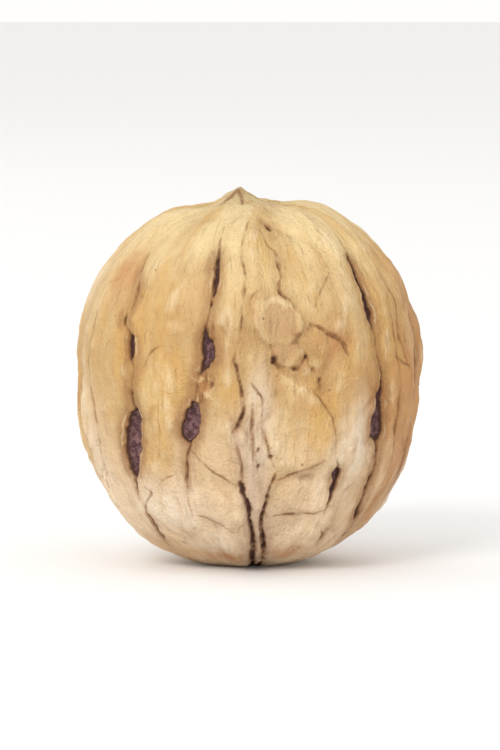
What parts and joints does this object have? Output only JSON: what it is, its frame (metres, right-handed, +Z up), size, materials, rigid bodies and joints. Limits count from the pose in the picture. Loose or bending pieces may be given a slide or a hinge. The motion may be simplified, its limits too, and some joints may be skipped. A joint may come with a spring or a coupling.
{
  "type": "walnut",
  "caption": "Whole walnut in its closed shell, standing upright on its stem end, with a raised suture, a pointed tip and narrow slots in the shell.",
  "frame": {"origin": "under the middle of the nut, on the small flat of the stem end that it stands on", "axes": "+Z up the nut from stem end to tip; the suture runs up the front (-Y) and down the back (+Y); the cheeks face -X and +X"},
  "size_m": [0.037, 0.037, 0.041],
  "materials": {
    "walnut_shell": "dry matt nutshell, tan with darker slots and creases"
  },
  "bodies": {
    "root": {"walnut": "walnut_shell"}
  },
  "joints": []
}
